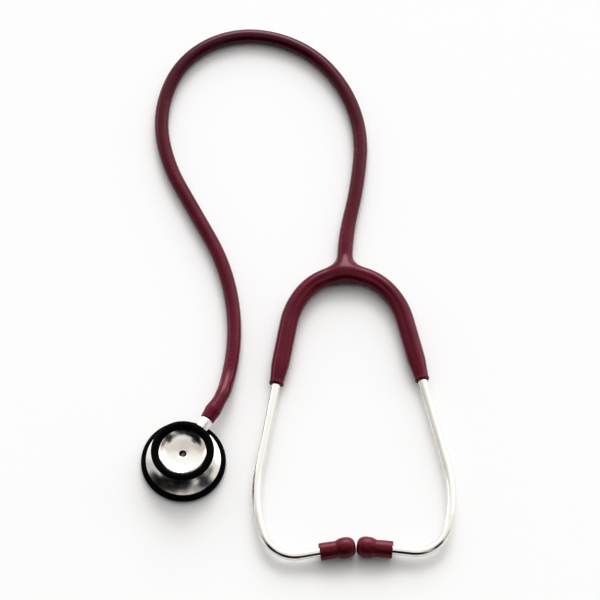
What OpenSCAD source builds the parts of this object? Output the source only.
// Dual-head stethoscope lying flat: diaphragm side down, bell side up.
// Millimetres. Origin: centre of the diaphragm rim's underside. +Z is up,
// +X to the right and +Y towards the top of the tubing loop.

/* [Chestpiece] */
// Outer diameter of the rubber rim round the diaphragm
rim_d = 48; // [46:0.5:50]
// Outer diameter of the rubber rim round the bell
bell_rim_d = 35.5; // [35:0.25:36.5]
// Mouth diameter of the bell inside its rim
bell_mouth_d = 26.7; // [26:0.1:27]
// Overall height of the chestpiece
head_h = 21.3; // [21:0.1:23]
// Thickness of the diaphragm sheet
diaphragm_t = 0.4; // [0.25:0.05:0.45]

/* [Stem] */
// Direction the stem leaves the chestpiece, degrees from +X towards +Y
stem_angle = 59.2; // [57:0.2:60]
// Height of the stem's axis above the table
stem_z = 10.5; // [10.3:0.1:10.6]
// Diameter of the stem
stem_d = 5.9; // [5.8:0.05:5.9]
// Distance from the chestpiece's axis to the face of the tubing
stem_reach = 26; // [25.5:0.5:27]

/* [Tubing] */
// Outside diameter of the main tube
tube_d = 8.2; // [8:0.1:8.3]
// Bore of the main tube
lumen_d = 4; // [3.5:0.25:4.5]
// Straight length of the tube that grips the stem
grip_l = 10; // [8:1:14]
// Gap between the ball and the socket where the tube bends
bend_gap = 0.3; // [0.25:0.05:0.5]

/* [Yoke] */
// Position of the yoke's crown, across
yoke_x = 91.9; // [90:0.1:93]
// Position of the yoke's crown, along
yoke_y = 114.9; // [113:0.1:116]
// Turn of the whole headset on the table
yoke_turn = 1.8; // [0:0.1:3]
// Outside diameter of the yoke's arms
arm_d = 10.4; // [10.2:0.1:10.5]
// Outside diameter of the arms where the ear tubes enter
arm_end_d = 8; // [7.4:0.1:8.4]
// Radius of the crown's bend
crown_r = 31.5; // [31:0.1:32]
// Bend of the crown on each side of the middle, degrees
crown_bend = 49.5; // [49:0.5:50.5]
// Radius of the shoulders
shoulder_r = 44; // [43:0.5:46]
// Bend of the shoulders, degrees
shoulder_bend = 28.2; // [27.6:0.1:28.6]
// Straight length of each arm
arm_l = 38.8; // [38:0.1:39.5]
// Thickness of the leaf spring
leaf_t = 0.8; // [0.5:0.1:0.8]
// Height of the leaf spring
leaf_h = 5; // [4:0.2:5]

/* [Headset] */
// Outside diameter of the ear tubes
ear_d = 5.3; // [5.1:0.05:5.3]
// Straight length of each ear tube below its arm
ear_l = 52.6; // [51:0.1:54]
// Depth of each ear tube inside its arm
ear_in = 14; // [12:0.5:15]
// Radius of the ear tubes' long bend
ear_r1 = 78; // [76:0.5:80]
// Sweep of the long bend, degrees
ear_bend1 = 28.4; // [28:0.1:29]
// Radius of the ear tubes' tight bend
ear_r2 = 18.7; // [18:0.1:19]
// Sweep of the tight bend, degrees
ear_bend2 = 82.2; // [81.5:0.1:82.4]
// Length from the tight bend to the middle of the ear tip's ball
ear_end = 26; // [25:0.1:26]
// Outside diameter of the ear tips' balls
tip_d = 11.9; // [11.6:0.1:12]
// Outside diameter of the ear tips' sleeves
sleeve_d = 9.8; // [9.4:0.1:10]
// Overall length of an ear tip
tip_l = 20.2; // [19.6:0.1:20.5]

/* [Hidden] */
$fn = 64;

fit = 0.02;      // between faces that touch
skin = 0.02;     // how far a joining collar stands proud of what it joins
running = 0.05;  // radial running clearance
over = 1;        // how far a cut runs past a face
nip = 0.15;      // cut off both ends of a bend, so that only collars bridge the joins
join = 0.4;      // reach of a collar to each side of a join
bore_back = 6;   // reach of a tube's bore back through its starting ball

tube_r = tube_d / 2;
lumen_r = lumen_d / 2;
tube_z = tube_r + 0.03;
arm_r = arm_d / 2;
ear_r = ear_d / 2;
rest_l = 167;    // from the crown to the ear tips, on which the headset rests
lean = atan((tip_d / 2 - arm_r) / rest_l);

// ---- Places and bends ----
// A place is [x, y, heading]. A bend is [radius, sweep], left positive;
// with radius 0 it is a straight, [0, length].

function advance(place, bend) = bend[0] == 0
  ? [place[0] + bend[1] * cos(place[2]), place[1] + bend[1] * sin(place[2]), place[2]]
  : let (radius = bend[1] > 0 ? bend[0] : -bend[0], heading = place[2] + bend[1])
    [place[0] + radius * (sin(heading) - sin(place[2])),
     place[1] - radius * (cos(heading) - cos(place[2])), heading];
// the place after the first count bends of a run
function walk(place, run, count) =
  count == 0 ? place : advance(walk(place, run, count - 1), run[count - 1]);
function past(place, run) = walk(place, run, len(run));
function arc_sweep(length, radius) = length / radius * 180 / PI;
// the first part of a bend, of a given length
function share(bend, length) = bend[0] == 0
  ? [0, length]
  : [bend[0], sign(bend[1]) * arc_sweep(length, bend[0])];

// moves children to a place, with their +X along the heading
module flat_at(place, z = 0) {
  translate([place[0], place[1], z]) rotate([0, 0, place[2]]) children();
}
// moves children to a place, with their +Z along the heading
module facing(place, z = 0) {
  translate([place[0], place[1], z]) rotate([0, 90, place[2]]) children();
}

module ball(radius) {
  sphere(r = radius, $fn = 48);
}
module ball_at(place, radius, z) {
  flat_at(place, z) ball(radius);
}
// one bend or straight as a round bar
module leg(place, bend, bar_r, z = 0) {
  if (bend[0] == 0)
    facing(place, z) cylinder(h = bend[1], r = bar_r);
  else {
    radius = bend[1] > 0 ? bend[0] : -bend[0];
    translate([place[0] - radius * sin(place[2]), place[1] + radius * cos(place[2]), z])
      rotate([0, 0, bend[1] > 0 ? place[2] - 90 : place[2] + 90 + bend[1]])
        rotate_extrude(angle = abs(bend[1])) translate([bend[0], 0]) circle(bar_r);
  }
}
// the same, short by nip at both ends
module trim_leg(place, bend, bar_r, z = 0) {
  leg(advance(place, share(bend, nip)),
    [bend[0], bend[1] - share(bend, 2 * nip)[1]], bar_r, z);
}
// a straight collar from back behind a place to front ahead of it
module collar(place, bar_r, z = 0, back = join, front = join) {
  facing(place, z) translate([0, 0, -back]) cylinder(h = back + front, r = bar_r + skin);
}
// a run of bends, with a collar over each join
module legs(place, run, bar_r, z) {
  for (i = [0 : len(run) - 1]) {
    trim_leg(walk(place, run, i), run[i], bar_r, z);
    if (i > 0) collar(walk(place, run, i), bar_r, z);
  }
}

// ---- Bends in space ----

function unit(v) = v / norm(v);
function direction(angle) = [cos(angle), sin(angle), 0];
function frame(x_axis, y_axis, z_axis, origin) = [
  for (i = [0 : 2]) [x_axis[i], y_axis[i], z_axis[i], origin[i]],
  [0, 0, 0, 1]
];

// an arc from start, leaving along tangent, to end
module space_arc(start, tangent, end, bar_r) {
  chord = end - start;
  half = acos(unit(chord) * tangent);
  radius = norm(chord) / (2 * sin(half));
  normal = unit(cross(tangent, chord));
  inward = cross(normal, tangent);
  trim = arc_sweep(nip, radius);
  multmatrix(frame(-inward, tangent, normal, start + radius * inward))
    rotate([0, 0, trim]) rotate_extrude(angle = 2 * half - 2 * trim)
      translate([radius, 0]) circle(bar_r);
}
module space_collar(point, tangent, bar_r, back = join, front = join) {
  level = unit(cross([0, 0, 1], tangent));
  multmatrix(frame(level, cross(tangent, level), tangent, point))
    translate([0, 0, -back]) cylinder(h = back + front, r = bar_r + skin);
}

// ---- Chestpiece ----

diaphragm_z = 0.7;
diaphragm_r = 22.2;
seat_z = diaphragm_z + diaphragm_t;
foot_r = 22;              // flange at the bottom of the body
foot_inner_r = 20.2;
foot_top = 3.9;
ledge_r = 21.2;           // step above the flange
bell_r = bell_mouth_d / 2;
bell_wall_r = 16.2;       // outside of the body at the bell
bell_seat_r = bell_r + 0.7;
lip_z = head_h - 0.9;     // top of the body
lip_in = 2.6;             // depth of the bell rim's lip inside the mouth
lip_floor = lip_z - lip_in;

// stem holes and the parts in them
stem_r = stem_d / 2;
hole_z = 1.5;             // bottom of the upright holes' cuts
screw_z = 3.4;            // underside of both screws
ball_x = 6.6;             // detent ball, along the stem
ball_r = 0.8;
ball_z = stem_z - stem_r - 0.07 - ball_r;
ball_lift = 0.4;          // from the ball's centre up to the dimple's
lock_x = 10.2;            // lock screw, along the stem
lock_r = 1.3;
spring_low = 4.35;
spring_high = ball_z - ball_r - 0.02;

// half section, [radius, height]
body_profile = [
  [0, 3.6], [2, 3.6], [foot_inner_r, 1.9], [foot_inner_r, seat_z + fit],
  [foot_r, seat_z + fit], [foot_r, foot_top], [ledge_r, foot_top], [ledge_r, 4.95],
  [19.5, 5.7], [17.6, 6.65], [15.7, 7.85], [13.9, 9.3], [12.5, 10.8], [11.5, 12.2],
  [11, 13.4], [11.2, 14.4], [12, 15.2], [13.6, 16.2], [15.4, 16.8],
  [bell_wall_r, 17.2], [bell_wall_r, lip_z],
  [bell_seat_r, lip_z], [bell_seat_r, lip_floor], [bell_r, lip_floor],
  [12.2, 17], [10, 15.9], [7.6, 15.2], [0, 14.6]
];

module on_stem(x = 0) {
  facing([0, 0, stem_angle], stem_z) translate([0, 0, x]) children();
}
// keeps children upright, x along the stem
module along_stem(x) {
  rotate([0, 0, stem_angle]) translate([x, 0, 0]) children();
}
module upright_hole(x, radius) {
  along_stem(x) translate([0, 0, hole_z]) cylinder(h = stem_z - hole_z, r = radius);
}

module chestpiece_body() {
  color("silver") difference() {
    rotate_extrude() polygon(body_profile);
    // bore for the stem
    on_stem(-5) cylinder(h = 40, r = stem_r + running);
    // sound ports from the bore to the diaphragm chamber and to the bell
    translate([0, 0, 2]) cylinder(h = 16, r = 1.5);
    // detent and lock screw holes, from the diaphragm chamber
    upright_hole(ball_x, ball_r + running);
    upright_hole(lock_x, lock_r + fit);
  }
}

// outer half of a rim's round edge, in section
module round_edge(centre_r, centre_z, edge_r, clip_h) {
  intersection() {
    translate([centre_r, centre_z]) circle(r = edge_r);
    translate([centre_r, 0]) square([10, clip_h]);
  }
}
module bell_rim() {
  edge_r = 2;
  centre_r = bell_rim_d / 2 - edge_r;
  cut_z = 10;
  lip_profile = [  // [radius, height]
    [centre_r, head_h], [bell_r + 1.6, head_h], [bell_r + 0.9, head_h - 0.5],
    [bell_r + 0.4, head_h - 1.6], [bell_r, lip_floor + 0.4], [bell_r, lip_floor + fit],
    [centre_r + 0.5, lip_floor + fit], [centre_r + 0.5, head_h - 0.1]
  ];
  color("dimgray") rotate_extrude() difference() {
    union() {
      round_edge(centre_r, head_h - edge_r, edge_r, 30);
      polygon(lip_profile);
    }
    // the body's wall
    translate([bell_seat_r - fit, cut_z])
      square([bell_wall_r - bell_seat_r + 2 * fit, lip_z - cut_z + fit]);
  }
}
module diaphragm() {
  color("lightgray") translate([0, 0, diaphragm_z])
    cylinder(h = diaphragm_t, r = diaphragm_r, $fn = 128);
}
module diaphragm_rim() {
  edge_r = 2.4;
  centre_r = rim_d / 2 - edge_r;
  inner_r = 21;
  cut_r = 20;
  color("dimgray") rotate_extrude() difference() {
    union() {
      round_edge(centre_r, edge_r, edge_r, 10);
      translate([inner_r, 0]) square([centre_r - inner_r, 2 * edge_r]);
      // overlaps the round edge and the flat part
      translate([centre_r - 0.3, 0.1]) square([0.7, 4.6]);
    }
    // the diaphragm, the flange and the step above it
    translate([cut_r, diaphragm_z - fit])
      square([diaphragm_r - cut_r + fit, diaphragm_t + 2 * fit]);
    translate([cut_r, diaphragm_z])
      square([foot_r - cut_r + fit, foot_top - diaphragm_z + fit]);
    translate([cut_r, 3]) square([ledge_r - cut_r + fit, 3]);
  }
}

// ---- Stem ----

seal_x = 3.3;       // seals, to each side of the chestpiece's axis
spigot_r = 2.15;
barb_r = 2.6;
barb_pitch = 2.6;
// [start along the stem, length, radius at the start, radius at the end]
stem_sections = [
  [-4.8, 21.8, stem_r, stem_r],
  [16.9, 6.2, stem_r, stem_r + 0.7],
  [23, stem_reach - 23.4, stem_r + 0.75, stem_r + 0.75],
  [stem_reach - 0.5, 0.45, stem_r + 0.7, stem_r + 0.3],
  [stem_reach - 0.1, 9.5, spigot_r, spigot_r],
  for (i = [0 : 2]) [stem_reach + 1.6 + barb_pitch * i, 2, barb_r, spigot_r]
];

// cutter for a ring groove centred x along the stem
module groove(x, width, floor_r) {
  on_stem(x - width / 2) difference() {
    cylinder(h = width, r = 5);
    translate([0, 0, -over]) cylinder(h = width + 2 * over, r = floor_r);
  }
}
module stem() {
  dimple_offset = stem_z - ball_z - ball_lift;
  color("gainsboro") difference() {
    union() {
      for (section = stem_sections)
        on_stem(section[0]) cylinder(h = section[1], r1 = section[2], r2 = section[3]);
    }
    on_stem(-3) cylinder(h = 60, r = 1.3);
    // side port, turned to the diaphragm side
    translate([0, 0, stem_z - 6]) cylinder(h = 6, r = 1.2);
    // seal grooves and lock groove
    for (x = [-seal_x, seal_x]) groove(x, width = 1, floor_r = 2.07);
    groove(lock_x, width = 1.8, floor_r = 2.15);
    // two detent dimples, half a turn apart
    for (side = [-1, 1])
      along_stem(ball_x) translate([0, 0, stem_z + side * dimple_offset]) ball(ball_r + 0.06);
  }
}
module seal(x) {
  on_stem(x) rotate_extrude() translate([2.53, 0]) circle(r = 0.44, $fn = 32);
}
module stem_seal_inner() { color("black") seal(-seal_x); }
module stem_seal_outer() { color("black") seal(seal_x); }

// cutter for a driver slot across the underside of a screw
module driver_slot(width, height) {
  translate([-2, -width / 2, 3]) cube([4, width, height]);
}
module stem_lock_screw() {
  color("slategray") along_stem(lock_x) difference() {
    union() {
      translate([0, 0, screw_z]) cylinder(h = 3.4, r = lock_r);
      translate([0, 0, 6.7]) cylinder(h = 1.5, r = 0.8);
    }
    driver_slot(width = 0.5, height = 1);
  }
}
module detent_ball() {
  color("white") along_stem(ball_x) translate([0, 0, ball_z]) ball(ball_r);
}

wire_r = 0.11;
coil_r = 0.58;
turns = 3;
wire_points = 6;
spring_h = spring_high - spring_low;
coil_pitch = (spring_h - 2 * wire_r) / turns;
wire_span = 360 * wire_r / coil_pitch;   // half the angle a level cut through the wire spans
function wire_point(angle) =
  let (around = wire_span * cos(angle), radius = coil_r + wire_r * sin(angle))
  [radius * cos(around), radius * sin(around)];
module detent_spring() {
  color("gold") along_stem(ball_x) translate([0, 0, spring_low])
    linear_extrude(height = spring_h, twist = -360 * turns, slices = 8 * turns)
      polygon([for (i = [0 : wire_points - 1]) wire_point(360 * i / wire_points)]);
}
module detent_screw() {
  color("slategray") along_stem(ball_x) difference() {
    translate([0, 0, screw_z])
      cylinder(h = spring_low - fit - screw_z, r = ball_r + running - fit);
    driver_slot(width = 0.3, height = 0.7);
  }
}

// ---- Tubing, from the yoke round to the stem ----

crown_tail = [[154.5, -14.7], [251, 8.4]];
right_run = [[81, 44.3], [63.2, 43.1]];
left_run = [[50.1, 71.8], [68.7, 37.1]];
lower_run = [[106.5, 16.4], [0, 36.4], [126.6, -38.5]];

yoke_place = [yoke_x, yoke_y, 90 + yoke_turn];
fold_place = past(yoke_place, crown_tail);
top_place = past(fold_place, right_run);
side_place = past(top_place, left_run);
end_place = past(side_place, lower_run);

// the tube's end: two arcs from the table up to a straight grip on the stem
end_point = [end_place[0], end_place[1], tube_z];
end_dir = direction(end_place[2]);
grip_point = (stem_reach + grip_l) * direction(stem_angle) + [0, 0, stem_z];
grip_dir = -direction(stem_angle);
// both arcs have tangents of one length, the positive root of
// square_term * length^2 + 2 * linear_term * length = span * span
span = grip_point - end_point;
linear_term = span * (end_dir + grip_dir);
square_term = 2 * (1 - end_dir * grip_dir);
tangent_l =
  (-linear_term + sqrt(linear_term * linear_term + square_term * (span * span))) / square_term;
end_corner = end_point + tangent_l * end_dir;
grip_corner = grip_point - tangent_l * grip_dir;
mid_point = (end_corner + grip_corner) / 2;
mid_dir = unit(grip_corner - end_corner);

// both arcs and the collar between them
module end_arcs(bar_r) {
  space_arc(end_point, end_dir, mid_point, bar_r);
  space_collar(mid_point, mid_dir, bar_r);
  space_arc(mid_point, mid_dir, grip_point, bar_r);
}
module tubing_end() {
  color("brown") difference() {
    union() {
      ball_at(end_place, tube_r - 0.01, tube_z);
      end_arcs(tube_r);
      on_stem(stem_reach) cylinder(h = grip_l + join, r = tube_r + skin);
    }
    end_arcs(lumen_r);
    space_collar(end_point, end_dir, lumen_r, back = bore_back);
    on_stem(stem_reach - over) cylinder(h = grip_l + over + join, r = barb_r + fit);
  }
}
// a stretch of the main tube: a ball where it starts, a socket where it ends
module tube_run(place, run) {
  color("brown") difference() {
    union() {
      legs(place, run, tube_r, tube_z);
      ball_at(place, tube_r - 0.01, tube_z);
    }
    legs(place, run, lumen_r, tube_z);
    collar(place, lumen_r, tube_z, back = bore_back);
    ball_at(past(place, run), tube_r + bend_gap, tube_z);
  }
}
module tubing_lower() { tube_run(side_place, lower_run); }
module tubing_loop_left() { tube_run(top_place, left_run); }
module tubing_loop_right() { tube_run(fold_place, right_run); }

// ---- Headset frame: origin at the middle of the crown, right half drawn ----

crown_arc = [crown_r, -2 * crown_bend];
shoulder_arc = [shoulder_r, -shoulder_bend];
crown_top = [0, 0, 0];
shoulder = advance(crown_top, [crown_r, -crown_bend]);
far_shoulder = [-shoulder[0], shoulder[1], crown_bend];
arm_top = advance(shoulder, shoulder_arc);
arm_end = advance(arm_top, [0, arm_l]);

module in_headset() {
  translate([yoke_x, yoke_y, arm_r]) rotate([-lean, 0, yoke_turn]) children();
}
module on_left() { in_headset() mirror([1, 0, 0]) children(); }
module on_right() { in_headset() children(); }
module both_sides() {
  for (flip = [0, 1]) mirror([flip, 0, 0]) children();
}

// ---- Leaf spring: a strip offset to the inside of the arms ----
// gap widens and heightens the strip, to cut its slot.

leaf_offset = 3.35;        // from the arm's axis to the middle of the strip
leaf_in = arm_l - 17;      // length of the strip inside each straight arm
slot_gap = 0.2;

module leaf_arc(place, bend, gap = 0) {
  thick = leaf_t + gap;
  high = leaf_h + gap;
  trim = arc_sweep(nip, bend[0]);
  // the bend is to the right
  translate([place[0] + bend[0] * sin(place[2]), place[1] - bend[0] * cos(place[2]), 0])
    rotate([0, 0, place[2] + 90 + bend[1] + trim])
      rotate_extrude(angle = -bend[1] - 2 * trim)
        translate([bend[0] - leaf_offset - thick / 2, -high / 2]) square([thick, high]);
}
// a straight piece of strip from start, relative to a place; proud enlarges it all round
module leaf_block(place, start, length, gap, proud = 0) {
  thick = leaf_t + gap + 2 * proud;
  high = leaf_h + gap + 2 * proud;
  flat_at(place) translate([start, -leaf_offset - thick / 2, -high / 2])
    cube([length, thick, high]);
}
module leaf_half(gap = 0, extra_l = 0) {
  for (place = [shoulder, arm_top]) leaf_block(place, -join, 2 * join, gap, proud = skin);
  leaf_arc(shoulder, shoulder_arc, gap);
  leaf_block(arm_top, nip, leaf_in + extra_l, gap);
}
module leaf_spring() {
  color("orange") in_headset() {
    leaf_arc(far_shoulder, crown_arc);
    both_sides() leaf_half();
  }
}

// ---- Yoke ----

taper_l = 14;    // tapered end of each arm
taper_lap = 0.2;
slot_sweep = 12; // part of the crown's bend slotted in the arm's ball, degrees

module tubing_crown() {
  color("brown") difference() {
    union() {
      in_headset() leg(far_shoulder, crown_arc, arm_r);
      legs(yoke_place, crown_tail, tube_r, tube_z);
    }
    legs(yoke_place, crown_tail, lumen_r, tube_z);
    in_headset() {
      leg(far_shoulder, crown_arc, lumen_r);
      leaf_arc(far_shoulder, crown_arc, slot_gap);
      both_sides() translate([shoulder[0], shoulder[1], 0]) ball(arm_r + bend_gap);
    }
    ball_at(fold_place, tube_r + bend_gap, tube_z);
  }
}
module arm() {
  difference() {
    union() {
      translate([shoulder[0], shoulder[1], 0]) ball(arm_r - 0.01);
      trim_leg(shoulder, shoulder_arc, arm_r);
      collar(arm_top, arm_r, front = arm_l - taper_l);
      facing(arm_end) translate([0, 0, -taper_l - taper_lap])
        cylinder(h = taper_l + taper_lap, r1 = arm_r, r2 = arm_end_d / 2);
    }
    collar(shoulder, lumen_r, back = 8);
    trim_leg(shoulder, shoulder_arc, lumen_r);
    collar(arm_top, lumen_r, front = arm_l - ear_in);
    leg(advance(arm_end, [0, -ear_in - over]), [0, ear_in + 2 * over], ear_r + running);
    leaf_arc(advance(crown_top, [crown_r, slot_sweep - crown_bend]),
      [crown_r, -slot_sweep], slot_gap);
    leaf_half(slot_gap, extra_l = 0.3);
  }
}
module yoke_arm_left() { color("brown") on_left() arm(); }
module yoke_arm_right() { color("brown") on_right() arm(); }

// ---- Ear tubes and ear tips ----

ear_run = [[0, ear_l], [ear_r1, -ear_bend1], [ear_r2, -ear_bend2], [0, ear_end]];
ear_bore_r = 1.9;
thread_r = 2.4;
thread_l = 5.6;
tube_in_tip = 7.4;
ball_half = 4.95;                  // half length of the ear tip's ball
sleeve_l = tip_l - ball_half;      // from the tip's open end to the ball's middle
tip_back = advance(past(arm_end, ear_run), [0, -sleeve_l]);
ear_stop = ear_end - sleeve_l + tube_in_tip - thread_l;   // full-width part past the bends
insert_z = 2;
insert_l = 5;
insert_r = 3.4;

// both bends, each with a collar where it starts
module ear_bends(bar_r) {
  for (i = [1, 2]) {
    place = walk(arm_end, ear_run, i);
    collar(place, bar_r);
    trim_leg(place, ear_run[i], bar_r);
  }
}
module ear_tube() {
  start = advance(arm_end, [0, -ear_in]);
  bends_end = walk(arm_end, ear_run, 3);
  difference() {
    union() {
      leg(start, [0, ear_in + ear_l - nip], ear_r);
      ear_bends(ear_r);
      collar(bends_end, ear_r);
      leg(advance(bends_end, [0, nip]), [0, ear_stop - nip], ear_r);
      leg(advance(bends_end, [0, 1]), [0, ear_stop + thread_l - 1], thread_r);
    }
    leg(advance(start, [0, -over]), [0, ear_in + ear_l + over - nip], ear_bore_r);
    ear_bends(ear_bore_r);
    collar(bends_end, ear_bore_r, front = ear_stop + thread_l + over);
  }
}
module ear_tube_left() { color("whitesmoke") on_left() ear_tube(); }
module ear_tube_right() { color("whitesmoke") on_right() ear_tube(); }

module eartip() {
  core_r = tip_d / 2 - ball_half;
  facing(tip_back) rotate_extrude() difference() {
    union() {
      square([sleeve_d / 2, sleeve_l]);
      translate([core_r, sleeve_l]) intersection() {
        circle(r = ball_half);
        translate([0, -ball_half]) square([ball_half, 2 * ball_half]);
      }
      translate([0, tip_l - 2 * ball_half]) square([core_r, 2 * ball_half]);
    }
    // ear tube, insert and sound hole
    translate([0, -over]) square([ear_r + running, over + tube_in_tip + 0.4]);
    translate([0, insert_z]) square([insert_r + fit, insert_l + 2 * fit]);
    translate([0, -over]) square([1.4, tip_l + 2 * over]);
  }
}
module eartip_left() { color("maroon") on_left() eartip(); }
module eartip_right() { color("maroon") on_right() eartip(); }

module eartip_insert() {
  facing(tip_back) translate([0, 0, insert_z + fit]) difference() {
    cylinder(h = insert_l, r = insert_r);
    translate([0, 0, -over]) cylinder(h = insert_l + 2 * over, r = thread_r + running);
  }
}
module eartip_insert_left() { color("goldenrod") on_left() eartip_insert(); }
module eartip_insert_right() { color("goldenrod") on_right() eartip_insert(); }

chestpiece_body();
bell_rim();
diaphragm();
diaphragm_rim();
stem();
stem_seal_inner();
stem_seal_outer();
stem_lock_screw();
detent_ball();
detent_spring();
detent_screw();
tubing_end();
tubing_lower();
tubing_loop_left();
tubing_loop_right();
tubing_crown();
yoke_arm_left();
yoke_arm_right();
leaf_spring();
ear_tube_left();
ear_tube_right();
eartip_left();
eartip_right();
eartip_insert_left();
eartip_insert_right();
